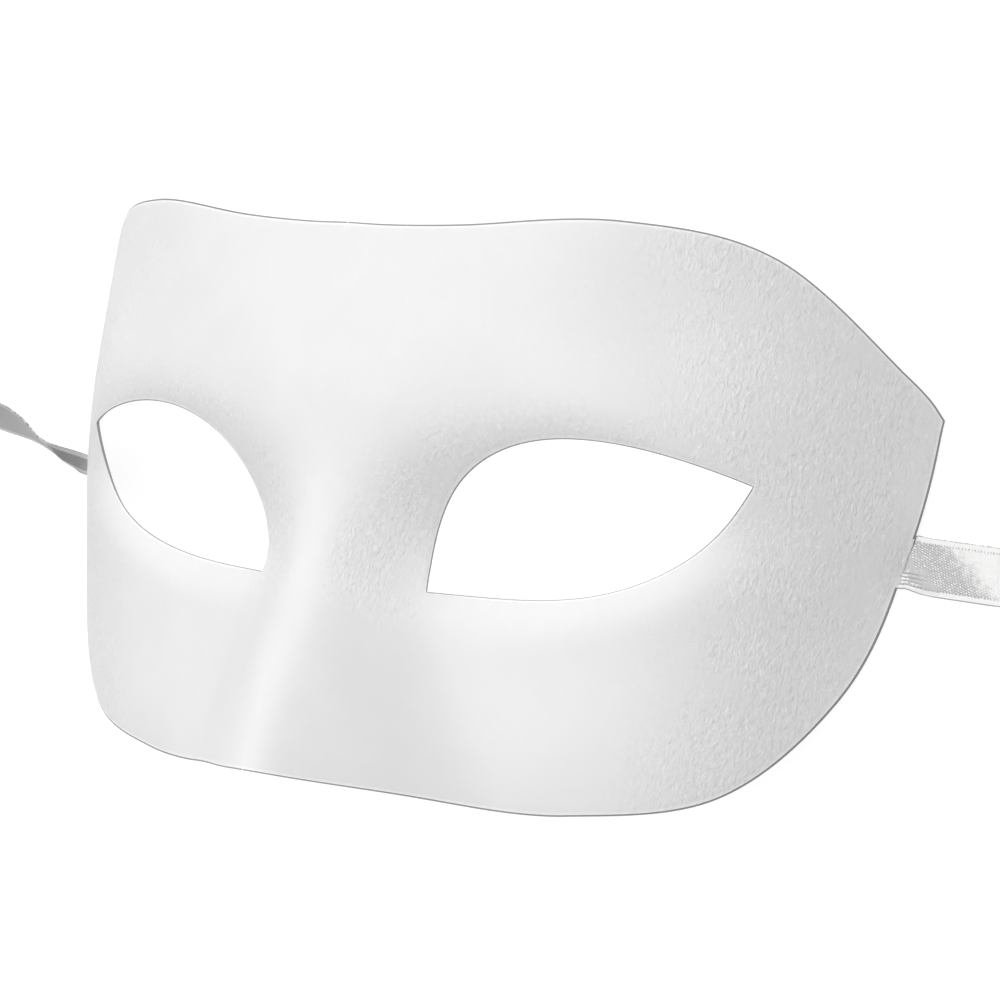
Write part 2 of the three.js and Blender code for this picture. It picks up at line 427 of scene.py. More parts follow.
@dataclass(frozen=True)
class CutEdgeShadeFinish:
    """The trimmed edge of the plastic, painted dark grey as the shade that lines it."""

    name: str = "cut_edge_shade"
    colour: Colour = (0.3, 0.3, 0.3, 1.0)
    roughness: float = 0.6

    def build(self) -> bpy.types.Material:
        """Makes the material.

        Returns:
            The material.
        """
        material, _, shader = new_material(self.name)
        shader.inputs["Base Color"].default_value = self.colour
        shader.inputs["Roughness"].default_value = self.roughness
        return material


@dataclass(frozen=True)
class FloorFinish:
    """A pale floor that glows a little, so that it stays even round the part."""

    name: str = "pale_floor"
    colour: Colour = (0.25, 0.25, 0.25, 1.0)
    roughness: float = 0.9
    specular: float = 0.1
    glow: float = 0.85

    def build(self) -> bpy.types.Material:
        """Makes the material.

        Returns:
            The material.
        """
        material, _, shader = new_material(self.name)
        shader.inputs["Base Color"].default_value = self.colour
        shader.inputs["Roughness"].default_value = self.roughness
        shader.inputs["Specular IOR Level"].default_value = self.specular
        shader.inputs["Emission Color"].default_value = WHITE
        shader.inputs["Emission Strength"].default_value = self.glow
        return material


@dataclass(frozen=True)
class ClothSpot:
    """Where a point of a ribbon lies, as outputs of its material's nodes.

    Along, across and off_middle count ribbon widths: from the rim, from the foot's edge and from the
    middle line. The wobble is a small random value about zero, made of the noise. The reach grows away
    from the corner between the rim and the foot, where the painted shadow of the mask is deepest.
    """

    along: Output
    across: Output
    off_middle: Output
    noise: Output
    wobble: Output
    reach: Output


@dataclass(frozen=True)
class SatinFinish:
    """One face of a white polyester satin ribbon: short slanting floats between two plain woven edges.

    The UV map counts ribbon widths: U along the ribbon from the rim, V across it from 0 to 1. Near the rim
    the cloth is painted greyer as the mask's shadow and its weave shows less, and painted light and shade
    make stripes along its creases.
    """

    name: str = "white_satin"
    # Painted shadow of the mask near the rim, then half shadow, then the unshaded cloth
    soaked: Colour = (0.49, 0.49, 0.49, 1.0)
    painted_half_shadow: Colour = (0.84, 0.84, 0.84, 1.0)
    unshaded: Colour = (0.9, 0.9, 0.895, 1.0)
    edge: Colour = (0.82, 0.82, 0.815, 1.0)
    gap: Colour = (0.32, 0.32, 0.32, 1.0)
    # A dark line painted along the cloth's edges as their shade
    edge_shade: Colour = (0.2, 0.2, 0.2, 1.0)
    roughness: float = 0.36
    specular: float = 1.0
    waver: Noise = Noise(9.0)
    reach_along: float = 0.81
    reach_waver: float = 0.7
    woven_reach: Ramp = Ramp(0.74, 0.86)
    unshaded_reach: Ramp = Ramp(1.2, 2.0)
    creases: float = 12.86
    crease_reach: Ramp = Ramp(0.4, 0.52, 1.0, 0.0)
    # Painted light and shade: pale stripes on the lit slopes of the creases near the rim, grey between them
    painted_crease_light: Ramp = Ramp(-0.5, 0.5, 1.0, 0.15)
    float_turn: float = 0.3
    float_length: float = 0.062
    float_width: float = 0.036
    float_waver: float = 0.05
    float_stagger: float = 0.5
    low_float: Colour = (0.5, 0.5, 0.5, 1.0)
    gap_width: float = 0.011
    float_band: Ramp = Ramp(0.38, 0.4, 1.0, 0.0)
    unshaded_cover: Ramp = Ramp(0.0, 1.0, 1.0, 0.25)
    edge_band: Ramp = Ramp(0.4, 0.42, 0.0, 0.8)
    stitches: float = 17.0
    stitch_waver: float = 14.0
    stitch_beat: Ramp = Ramp(-0.3, 0.8, 0.0, 0.7)
    seam_inner: Ramp = Ramp(0.365, 0.385)
    seam_outer: Ramp = Ramp(0.4, 0.42, 1.0, 0.0)
    foot_brink: Ramp = Ramp(0.006, 0.022, 1.0, 0.0)
    crown_brink: Ramp = Ramp(0.98, 0.992)
    brink_patches: Ramp = Ramp(0.4, 0.6, 0.2, 1.0)
    bump_strength: float = 0.7
    bump_depth: float = 0.00009

    def find_spot(self, write: NodeWriter) -> ClothSpot:
        """Works out where a point lies.

        Args:
            write: the material's writer.

        Returns:
            The spot.
        """
        place = write.add("UVMap", uv_map="ribbon").outputs[0]
        parts = write.add("SeparateXYZ", {0: place})
        along, across = parts.outputs[0], parts.outputs[1]
        off_middle = write.maths("ABSOLUTE", write.maths("SUBTRACT", across, 0.5))
        noise = write.noise(place, self.waver)
        wobble = write.maths("SUBTRACT", noise, 0.5)
        wavering = write.maths("MULTIPLY_ADD", wobble, self.reach_waver, across)
        reach = write.maths("MULTIPLY_ADD", along, self.reach_along, wavering)
        return ClothSpot(along, across, off_middle, noise, wobble, reach)

    def floats(self, write: NodeWriter, spot: ClothSpot) -> Output:
        """Writes the pattern of the floats.

        Args:
            write: the material's writer.
            spot: where the point lies.

        Returns:
            The floats' height, 0 in the gaps between them.
        """
        sway = write.maths("MULTIPLY_ADD", spot.wobble, self.float_waver, spot.across)
        swayed = write.add("CombineXYZ", {0: spot.along, 1: sway}).outputs[0]
        turned = write.add("Mapping", {"Vector": swayed, "Rotation": (0.0, 0.0, self.float_turn)}).outputs[0]
        inputs = {
            "Vector": turned,
            "Color1": WHITE,
            "Color2": self.low_float,
            "Mortar": BLACK,
            "Scale": 1.0,
            "Mortar Size": self.gap_width,
            "Mortar Smooth": 1.0,
            "Brick Width": self.float_length,
            "Row Height": self.float_width,
        }
        return write.add("TexBrick", inputs, offset=self.float_stagger).outputs["Color"]

    def stitch(self, write: NodeWriter, spot: ClothSpot) -> Output:
        """Writes the row of stitches beside each woven edge.

        Args:
            write: the material's writer.
            spot: where the point lies.

        Returns:
            The stitches' share of the colour.
        """
        inner = write.ramp(spot.off_middle, self.seam_inner)
        outer = write.ramp(spot.off_middle, self.seam_outer)
        count = write.maths("MULTIPLY", spot.along, self.stitches * 2 * math.pi)
        turn = write.maths("MULTIPLY_ADD", spot.wobble, self.stitch_waver, count)
        beat = write.ramp(write.maths("SINE", turn), self.stitch_beat)
        return write.maths("MULTIPLY", write.maths("MULTIPLY", inner, outer), beat)

    def tone(self, write: NodeWriter, spot: ClothSpot, woven: Output, unshaded: Output) -> Output:
        """Writes the cloth's colour without its weave, with its painted shadow and crease stripes.

        Args:
            write: the material's writer.
            spot: where the point lies.
            woven: 1 where the weave shows and the cloth is out of the deepest painted shadow, 0 near the rim.
            unshaded: 1 where the cloth is clear of the painted shadow.

        Returns:
            The colour.
        """
        # Painted light and shade stripes along the creases, near the rim's corner
        corner = write.ramp(spot.reach, self.crease_reach)
        ripple = write.maths("SINE", write.maths("MULTIPLY", spot.across, self.creases * 2 * math.pi))
        crease_light = write.maths("MULTIPLY", corner, write.ramp(ripple, self.painted_crease_light))
        # Painted shadow of the mask: darkest at the rim, lighter further along
        glued = write.blend(woven, self.soaked, self.painted_half_shadow)
        return write.blend(write.maths("MAXIMUM", unshaded, crease_light), glued, self.unshaded)

    def painted_edge_shade(self, write: NodeWriter, spot: ClothSpot) -> Output:
        """Writes painted shade: a thin dark line along each edge of the cloth, the crown's in patches.

        Args:
            write: the material's writer.
            spot: where the point lies.

        Returns:
            The dark edges' share of the colour.
        """
        foot = write.ramp(spot.across, self.foot_brink)
        patches = write.ramp(spot.noise, self.brink_patches)
        crown = write.maths("MULTIPLY", write.ramp(spot.across, self.crown_brink), patches)
        return write.maths("MAXIMUM", foot, crown)

    def build(self) -> bpy.types.Material:
        """Makes the material.

        Returns:
            The material.
        """
        material, write, shader = new_material(self.name)
        spot = self.find_spot(write)
        # Where the weave shows and the deepest painted shadow ends, and where all painted shadow ends
        woven = write.ramp(spot.reach, self.woven_reach)
        unshaded = write.ramp(spot.reach, self.unshaded_reach)
        floats = self.floats(write, spot)
        stitch = self.stitch(write, spot)
        shown = write.maths("MULTIPLY", woven, write.ramp(unshaded, self.unshaded_cover))
        cover = write.maths("MULTIPLY", write.ramp(spot.off_middle, self.float_band), shown)
        parted = write.maths("MULTIPLY", write.maths("SUBTRACT", 1.0, floats), cover)
        plain = self.tone(write, spot, woven, unshaded)
        banded = write.blend(write.ramp(spot.off_middle, self.edge_band), plain, self.edge)
        flecked = write.blend(parted, banded, self.gap)
        seamed = write.blend(stitch, flecked, self.gap)
        # Painted shade along the cloth's edges
        finished = write.blend(self.painted_edge_shade(write, spot), seamed, self.edge_shade)
        height = write.maths("SUBTRACT", write.maths("MULTIPLY", floats, cover), stitch)
        bump = write.add(
            "Bump",
            {"Height": height, "Strength": self.bump_strength, "Distance": self.bump_depth},
        )
        write.join(finished, shader, "Base Color")
        write.join(bump.outputs["Normal"], shader, "Normal")
        shader.inputs["Roughness"].default_value = self.roughness
        shader.inputs["Specular IOR Level"].default_value = self.specular
        return material


# Mask shell


@dataclass(frozen=True)
class Swell:
    """A soft round rise on both halves of the face, or a hollow where its height is below zero."""

    height: float
    centre: Point2
    reach: Point2

    def at(self, x: float, y: float) -> float:
        """Finds the rise at a point of the face.

        Args:
            x: the point's place across the face.
            y: its place above the line of the eyes.

        Returns:
            The rise.
        """
        near = math.exp(-(((x - self.centre[0]) / self.reach[0]) ** 2))
        far = math.exp(-(((x + self.centre[0]) / self.reach[0]) ** 2))
        return self.height * (near + far) * math.exp(-(((y - self.centre[1]) / self.reach[1]) ** 2))


@dataclass(frozen=True)
class FaceForm:
    """The height of the face over the plane of its outline, and its outline and eye openings.

    The sheet tilts from cheek to brow and wraps round the head. A nose, two sockets, soft swells and
    hollows, and an arch at each side rim shape it further.
    """

    eye_line_y: float = 0.0106
    rest_lift: float = 0.04022
    half_width: float = 0.086
    tilt_slope: float = 0.281
    tilt_bow: float = -1.95
    wrap_deep: float = 0.0385
    wrap_deep_slope: float = 0.016
    wrap_deep_bow: float = 2.83
    wrap_power: float = 3.6
    wrap_shallow: float = 0.00295
    wrap_shallow_slope: float = 0.085
    nose_root_y: float = -0.0079
    nose_end_y: float = -0.05
    nose_end_height: float = 0.02165
    nose_root_softness: float = 0.187
    nose_sag: float = -0.00077
    nose_sag_reach: float = 0.3
    nose_flank_slope: float = 0.91
    nose_root_crest: float = 0.0075
    nose_end_crest: float = 0.0044
    nose_root_foot: float = 0.004
    nose_end_foot: float = 0.00715
    nose_least_foot: float = 0.0005
    socket_depth: float = 0.00605
    socket_centre: Point2 = (0.0354, -0.0133)
    socket_inner_reach: float = 0.0246
    socket_outer_reach: float = 0.0287
    socket_above: float = 0.01285
    socket_below: float = 0.0099
    socket_turn: float = 0.262
    socket_edge: float = 1.69
    socket_middle: float = 0.003
    swells: tuple[Swell, ...] = (
        Swell(-0.005, (0.0376, -0.0246), (0.0256, 0.0214)),
        Swell(-0.00235, (0.0536, 0.0211), (0.0181, 0.0128)),
        Swell(-0.00155, (0.0771, -0.0085), (0.014, 0.02)),
        Swell(0.002, (0.0129, 0.0026), (0.0104, 0.0192)),
    )
    arch_rise: float = 0.00278
    arch_y: float = -0.0041
    arch_reach: float = 0.014
    arch_power: int = 8
    brow_edge: tuple[Point2, ...] = (
        (0, 0.0309),
        (0.0215, 0.03175),
        (0.0468, 0.0353),
        (0.0667, 0.0344),
        (0.0821, 0.0221),
        (0.086, 0.0173),
    )
    lower_edge: tuple[Point2, ...] = (
        (0, -0.0571),
        (0.0199, -0.0558),
        (0.0426, -0.0539),
        (0.0638, -0.0468),
        (0.0778, -0.0282),
        (0.085, -0.0031),
        (0.086, 0.0173),
    )
    upper_lid: tuple[Point2, ...] = (
        (0.0169, -0.0235),
        (0.0151, -0.0158),
        (0.0203, 0.01),
        (0.067, -0.0001),
    )
    lower_lid: tuple[Point2, ...] = (
        (0.067, -0.0001),
        (0.0567, -0.0229),
        (0.0358, -0.0212),
        (0.0169, -0.0235),
    )
    slope_step: float = 0.00005

    def nose(self, x: float, y: float) -> float:
        """Finds the height that the nose adds.

        Args:
            x: the point's place across the face.
            y: its place above the line of the eyes.

        Returns:
            The added height.
        """
        along = (self.nose_root_y - y) / (self.nose_root_y - self.nose_end_y)
        ridge = self.nose_end_height * soft_ramp(along, self.nose_root_softness)
        ridge += self.nose_sag * math.exp(-(((along - 0.5) / self.nose_sag_reach) ** 2))
        crest = lerp(self.nose_root_crest, self.nose_end_crest, along)
        fall = self.nose_flank_slope * (math.hypot(x, crest) - crest)
        foot = max(lerp(self.nose_root_foot, self.nose_end_foot, along), self.nose_least_foot)
        return soft_ramp(ridge - fall, foot)

    def socket(self, x: float, y: float) -> float:
        """Finds the depth of the oval socket round an eye.

        Args:
            x: the point's place across the face.
            y: its place above the line of the eyes.

        Returns:
            The depth.
        """
        dx, dy = math.hypot(x, self.socket_middle) - self.socket_centre[0], y - self.socket_centre[1]
        cos, sin = math.cos(self.socket_turn), math.sin(self.socket_turn)
        along, across = dx * cos + dy * sin, dy * cos - dx * sin
        length = self.socket_outer_reach if along > 0 else self.socket_inner_reach
        width = self.socket_above if across > 0 else self.socket_below
        radius = (along / length) ** 2 + (across / width) ** 2
        return self.socket_depth * math.exp(-(radius**self.socket_edge))

    def height(self, x: float, y: float) -> float:
        """Finds the height of the outer surface.

        Args:
            x: the point's place across the face.
            y: its place above the line of the eyes.

        Returns:
            The height over the plane of the outline.
        """
        side = abs(x) / self.half_width
        tilt = self.tilt_slope * y + self.tilt_bow * y**2
        deep = self.wrap_deep + self.wrap_deep_slope * y + self.wrap_deep_bow * y**2
        shallow = self.wrap_shallow + self.wrap_shallow_slope * y
        wrap = deep * side**self.wrap_power + shallow * side**2
        arch = self.arch_rise * math.exp(-(((y - self.arch_y) / self.arch_reach) ** 2))
        relief = self.nose(x, y) - self.socket(x, y) + sum(swell.at(x, y) for swell in self.swells)
        return tilt - wrap + relief + arch * side**self.arch_power

    def wall(self, x: float, y: float, depth: float) -> Vector:
        """Finds a point in or below the wall.

        Args:
            x: the point's place across the face.
            y: its place above the line of the eyes.
            depth: how far it lies below the outer surface, square to it.

        Returns:
            The point in the frame.
        """
        step = self.slope_step
        slope_x = (self.height(x + step, y) - self.height(x - step, y)) / (2 * step)
        slope_y = (self.height(x, y + step) - self.height(x, y - step)) / (2 * step)
        normal = Vector((-slope_x, -slope_y, 1)).normalized()
        surface = Vector((x, y + self.eye_line_y, self.height(x, y) + self.rest_lift))
        return surface - normal * depth

    def edge_from_middle(self, points: Sequence[Point2], steps: int) -> list[Point2]:
        """Spaces points along a smooth edge that crosses the middle line level.

        Args:
            points: the edge's points from the middle line outwards.
            steps: how many steps to take.

        Returns:
            steps + 1 points.
        """
        mirrored = (-points[1][0], points[1][1])
        rows = [mirrored, *points]
        return even_points(lambda t: tuple(along_rows(rows, t * (len(rows) - 1))), 1 / len(points), steps)

    def lid(self, points: Sequence[Point2], steps: int) -> list[Point2]:
        """Spaces points along an eyelid's edge.

        Args:
            points: one corner of the eye, two handles and the other corner.
            steps: how many steps to take.

        Returns:
            steps + 1 points.
        """

        def at(t: float) -> Point2:
            """Returns the point at a share of the cubic curve."""
            weights = ((1 - t) ** 3, 3 * t * (1 - t) ** 2, 3 * t**2 * (1 - t), t**3)
            return tuple(sum(w * p[axis] for w, p in zip(weights, points)) for axis in (0, 1))

        return even_points(at, 0, steps)


@dataclass
class MaskShell:
    """The moulded shell: one thin wall over brow, eyes and nose, with rounded rims.

    A grid whose columns go from the eye opening to the right half's outline makes the outer surface. Its
    left half is the mirror image, and the wall gets its thickness last.
    """

    form: FaceForm
    finish: PlasticFinish
    edge_shade_finish: CutEdgeShadeFinish
    thickness: float = 0.0005
    outline_ring: float = 0.00026
    outline_drop: float = 0.00006
    lid_ring: float = 0.00016
    lid_drop: float = 0.00008
    glued_from_y: float = 0.0007
    glued_to_y: float = 0.0089
    merge_distance: float = 0.00001
    mirror_distance: float = 0.00002
    level_normal: float = 0.95
    steep_normal: float = 0.8
    least_grain: float = 0.1
    plain_nose_y: float = -0.0224
    plain_nose_x: float = 0.045
    nose_fade: float = 0.008
    middle_up: int = 42
    brow: int = 90
    lower: int = 120
    middle_down: int = 30
    rows: int = 30
    opening: list[Vector] = field(init=False)
    outline: list[Vector] = field(init=False)
    trimmed: list[bool] = field(init=False)

    def __post_init__(self) -> None:
        """Works out the grid's two loops, and which of its columns end at a trimmed edge."""
        self.opening, self.outline = ([Vector(spot) for spot in loop] for loop in self.loops())
        brow_middle, foot_middle = self.middle_up, self.columns - self.middle_down
        self.trimmed = [spot.x > 0 or i in (brow_middle, foot_middle) for i, spot in enumerate(self.outline)]

    @property
    def columns(self) -> int:
        """Returns how many faces lie round the opening."""
        return len(self.opening) - 1

    def loops(self) -> tuple[list[Point2], list[Point2]]:
        """Spaces points along the two ends of the grid's columns.

        Returns:
            Matching loops round the eye opening and round the right half's outline.
        """
        form = self.form
        upper = form.lid(form.upper_lid, self.middle_up + self.brow)
        lower = form.lid(form.lower_lid, self.lower + self.middle_down)
        middle_y = form.upper_lid[0][1]
        top_y, foot_y = form.brow_edge[0][1], form.lower_edge[0][1]
        up = [(0.0, lerp(middle_y, top_y, i / self.middle_up)) for i in range(self.middle_up)]
        brow = form.edge_from_middle(form.brow_edge, self.brow)[:-1]
        side = form.edge_from_middle(form.lower_edge, self.lower)[:0:-1]
        down = [(0.0, lerp(foot_y, middle_y, i / self.middle_down)) for i in range(self.middle_down + 1)]
        return upper[:-1] + lower, up + brow + side + down

    def beside(self, column: int) -> Vector:
        """Finds a place a ring's width outside the eye opening.

        Args:
            column: the number of the opening's point beside it.

        Returns:
            The place.
        """
        after, before = (column + 1) % self.columns, (column - 1) % self.columns
        travel = self.opening[after] - self.opening[before]
        away = Vector((-travel.y, travel.x)).normalized()
        return self.opening[column] + away * self.lid_ring

    def place(self, around: float, outwards: float) -> Vector:
        """Finds a grid vertex's place on the outer surface, with the rims rounded off.

        Args:
            around: the share of the way round the opening.
            outwards: the share of the way from the opening to the outline.

        Returns:
            The place in the frame.
        """
        column, row = round(around * self.columns), round(outwards * self.rows)
        if row == 0:
            return self.form.wall(*self.opening[column], self.lid_drop)
        edge, trimmed = self.outline[column], self.trimmed[column]
        if row == self.rows:
            return self.form.wall(*edge, self.outline_drop if trimmed else 0.0)
        beside = self.beside(column)
        reach = (edge - beside).length
        ring = self.outline_ring if trimmed else reach / self.rows
        return self.form.wall(*beside.lerp(edge, (1 - ring / reach) * (row - 1) / (self.rows - 2)), 0.0)

    def dress(self, shell: bpy.types.Object) -> None:
        """Gives the grid its materials, with painted shade on its trimmed rings, and marks the two rings of
        vertices along its trimmed edges.

        Args:
            shell: the grid, before its doubles are merged.
        """
        shell.data.materials.append(self.finish.build())
        shell.data.materials.append(self.edge_shade_finish.build())
        for face in shell.data.polygons:
            row, column = divmod(face.index, self.columns)
            trimmed = row == self.rows - 1 and self.trimmed[column] and self.trimmed[column + 1]
            glued = self.glued_from_y < face.center.y < self.glued_to_y
            # The lid ring and the trimmed outer ring, except where a ribbon is glued, get the dark painted
            # shade
            if row == 0 or (trimmed and not glued):
                face.material_index = 1
        # The rim marks carry the plastic's painted highlight
        rim = shell.data.attributes.new("rim", "FLOAT", "POINT")
        for index, mark in enumerate(rim.data):
            row, column = divmod(index, self.columns + 1)
            mark.value = 1.0 if row <= 1 or (row >= self.rows - 1 and self.trimmed[column]) else 0.0

    def mark_grain(self, shell: bpy.types.Object) -> None:
        """Marks how strongly the grain shows: most where the surface is steep, and little on the nose.

        Args:
            shell: the whole outer surface.
        """
        grain = shell.data.attributes.new("grain", "FLOAT", "POINT")
        for vertex, mark in zip(shell.data.vertices, grain.data):
            steepness = (self.level_normal - vertex.normal.z) / (self.level_normal - self.steep_normal)
            over_nose = (vertex.co.y - self.plain_nose_y) / self.nose_fade
            beside_nose = (abs(vertex.co.x) - self.plain_nose_x) / self.nose_fade
            moulded = min(max(over_nose, beside_nose, self.least_grain), 1.0)
            mark.value = moulded * min(max(steepness, self.least_grain), 1.0)

    def build(self) -> bpy.types.Object:
        """Makes the shell.

        Returns:
            The finished shell, riding on the part's body.
        """
        shell = bent_grid("mask", self.columns, self.rows, self.place)
        self.dress(shell)
        edit_whole(shell, bpy.ops.mesh.remove_doubles, threshold=self.merge_distance)
        apply_modifier(shell, "MIRROR", use_axis=(True, False, False), merge_threshold=self.mirror_distance)
        face_upwards(shell)
        self.mark_grain(shell)
        wall = {"thickness": self.thickness - self.lid_drop, "offset": -1, "use_even_offset": True}
        # The wall's cut face gets the dark painted shade too
        apply_modifier(shell, "SOLIDIFY", **wall, use_rim=True, material_offset_rim=1)
        shade_smooth(shell)
        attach(shell, BODY)
        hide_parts("mask_shell")
        return shell


# Ribbons


@dataclass(frozen=True)
class Station:
    """One place along a ribbon, and how steeply its foot, middle and crown stand there, in degrees.

    The three follow one another across the ribbon. 0 lies flat and 90 stands on the ribbon's edge. The
    creases are small waves near the foot's edge, given by how far they tip the cloth to either side, and
    the lift is how far the ribbon's lowest line is raised above the table. The slant is how far the crown
    runs ahead of the foot, for each distance across.
    """

    x: float
    y: float
    foot: float = 90.0
    middle: float = 90.0
    crown: float = 90.0
    creases: float = 0.0
    lift: float = 0.0
    slant: float = 0.0


def even_station(x: float, y: float, turn: float) -> Station:
    """Returns a station at which the ribbon is straight across."""
    return Station(x, y, turn, turn, turn)


@dataclass(frozen=True)
class Roll:
    """The put-away length of a ribbon, wound loosely on its edge.

    It starts upright, and then leans out and in a little as it goes round.
    """

    centre: Point2
    start_degrees: float
    winding: Winding
    outer_radius: float = 0.0297
    inner_radius: float = 0.0203
    turns: float = 2.3
    steps_per_turn: int = 24
    lean: float = 3.0
    leans_per_turn: int = 3
    lean_onset: float = 6.0

    def stations(self) -> list[Station]:
        """Finds the places along the roll.

        Returns:
            The places, from its outside to its bare end.
        """
        steps = round(self.turns * self.steps_per_turn)
        found = []
        for i in range(steps + 1):
            share = i / steps
            angle = math.radians(self.start_degrees) + self.winding.value * 2 * math.pi * self.turns * share
            radius = lerp(self.outer_radius, self.inner_radius, share)
            x = self.centre[0] + radius * math.cos(angle)
            y = self.centre[1] + radius * math.sin(angle)
            lean = self.lean * math.sin(self.leans_per_turn * angle) * min(1, self.lean_onset * share)
            found.append(even_station(x, y, 90 + lean))
        return found


@dataclass
class Ribbon:
    """A satin ribbon: its seen stretch over the table, and its roll.

    Two soft bends part its width into a foot, a middle and a crown, which can fold over one another.
    """

    name: str
    nodes: tuple[str, ...]
    route: tuple[Station, ...]
    roll: Roll
    faces: tuple[bpy.types.Material, bpy.types.Material]
    width: float = 0.009
    thickness: float = 0.00025
    table_gap: float = 0.00005
    columns: int = 60
    fine_steps: int = 2
    travel_step: float = 0.01
    steps_on_route: int = 6
    steps_on_roll: int = 3
    foot_width: float = 0.0035
    crown_width: float = 0.00275
    sharp_bend: float = 0.00008
    open_bend: float = 0.0004
    crease_pitch: float = 0.0007
    crease_fade: float = 0.6
    crease_reach: float = 0.0042
    stations: list[Station] = field(init=False)

    def __post_init__(self) -> None:
        """Joins the route and the roll into one list of places."""
        self.stations = [*self.route, *self.roll.stations()]

    def steepness(self, across: float, bends: Sequence[float]) -> float:
        """Finds how steeply the ribbon stands.

        Args:
            across: the distance from its foot edge.
            bends: the steepness of its foot, middle and crown and of its creases, in degrees.

        Returns:
            The steepness there, in radians.
        """
        foot, middle, crown, creases = bends
        softness = lerp(self.open_bend, self.sharp_bend, abs(foot - middle) / 180)
        over_foot = (1 + math.tanh((across - self.foot_width) / softness)) / 2
        over_middle = (1 + math.tanh((across - self.width + self.crown_width) / softness)) / 2
        angle = foot + (middle - foot) * over_foot + (crown - middle) * over_middle
        fade = 1 - smooth_rise(across / self.crease_reach, self.crease_fade, 1.0)
        return math.radians(angle + creases * fade * math.sin(2 * math.pi * across / self.crease_pitch))

    def section(self, position: float) -> list[Vector]:
        """Finds the points across the ribbon.

        Args:
            position: 0 at the first station, 1 at the next, and so on.

        Returns:
            columns + 1 points from the foot edge to the crown edge.
        """
        rows = [(s.x, s.y, s.lift, s.slant, s.foot, s.middle, s.crown, s.creases) for s in self.stations]
        x, y, lift, slant, *bends = along_rows(rows, position)
        ahead = along_rows(rows, min(position + self.travel_step, len(rows) - 1))
        behind = along_rows(rows, max(position - self.travel_step, 0))
        travel = Vector((ahead[0] - behind[0], ahead[1] - behind[1], 0)).normalized()
        side = Vector((0, 0, 1)).cross(travel) + travel * slant
        spot = Vector((0, 0))
        points = [spot]
        count = self.columns * self.fine_steps
        piece = self.width / count
        for i in range(count):
            angle = self.steepness((i + 0.5) * piece, bends)
            spot = spot + Vector((math.cos(angle), math.sin(angle))) * piece
            if (i + 1) % self.fine_steps == 0:
                points.append(spot)
        middle = (max(p.x for p in points) + min(p.x for p in points)) / 2
        lowest = min(p.y for p in points) - self.table_gap - self.thickness / 2 - lift
        return [Vector((x, y, p.y - lowest)) + side * (p.x - middle) for p in points]

    def path(self) -> list[Vector]:
        """Finds the ribbon's centre line.

        Returns:
            Its centre at each station.
        """
        sections = [self.section(i) for i in range(len(self.stations))]
        return [sum(section, Vector()) / len(section) for section in sections]

    def build(self, ends: Sequence[bpy.types.Object]) -> bpy.types.Object:
        """Makes the ribbon.

        Args:
            ends: the pieces that go with it, such as its glued end; not used.

        Returns:
            The finished ribbon, riding on the part's body.
        """
        first, last = len(self.route), len(self.stations) - 1
        on_route = [i / self.steps_on_route for i in range(first * self.steps_on_route)]
        on_roll = [first + i / self.steps_on_roll for i in range((last - first) * self.steps_on_roll + 1)]
        sections = [self.section(position) for position in on_route + on_roll]
        piece = strip(self.name, sections, self.width, self.thickness, self.faces)
        path = self.path()
        length = sum((b - a).length for a, b in zip(path, path[1:]))
        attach(piece, BODY)
        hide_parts(*self.nodes)
        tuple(path[0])
        LOG.info("%s is %.0f mm long", self.name, length / MILLIMETRE)
        return piece


def strip(
    name: str,
    sections: Sequence[Sequence[Vector]],
    width: float,
    thickness: float,
    faces: Sequence[bpy.types.Material],
) -> bpy.types.Object:
    """Makes a thin strip through a row of sections.

    Args:
        name: the object's name.
        sections: lists of points across the strip, in order along it.
        width: the strip's real width, which sets the scale of its UV map.
        thickness: the cloth's thickness.
        faces: the materials of its front and its reverse.

    Returns:
        The mesh object, with a UV map in widths along and across.
    """
    rows, columns = len(sections) - 1, len(sections[0]) - 1
    middle = columns // 2
    lengths = [0.0]
    for a, b in zip(sections, sections[1:]):
        lengths.append(lengths[-1] + (b[middle] - a[middle]).length / width)
    piece = bent_grid(name, columns, rows, lambda s, t: sections[round(t * rows)][round(s * columns)])
    layer = piece.data.uv_layers.active
    layer.name = "ribbon"
    for spot in layer.data:
        across, along = spot.uv
        spot.uv = (lengths[round(along * rows)], round(across * columns) / columns)
    piece.data.flip_normals()
    for face in faces:
        piece.data.materials.append(face)
    apply_modifier(piece, "SOLIDIFY", thickness=thickness, offset=0, material_offset=1)
    shade_smooth(piece)
    return piece


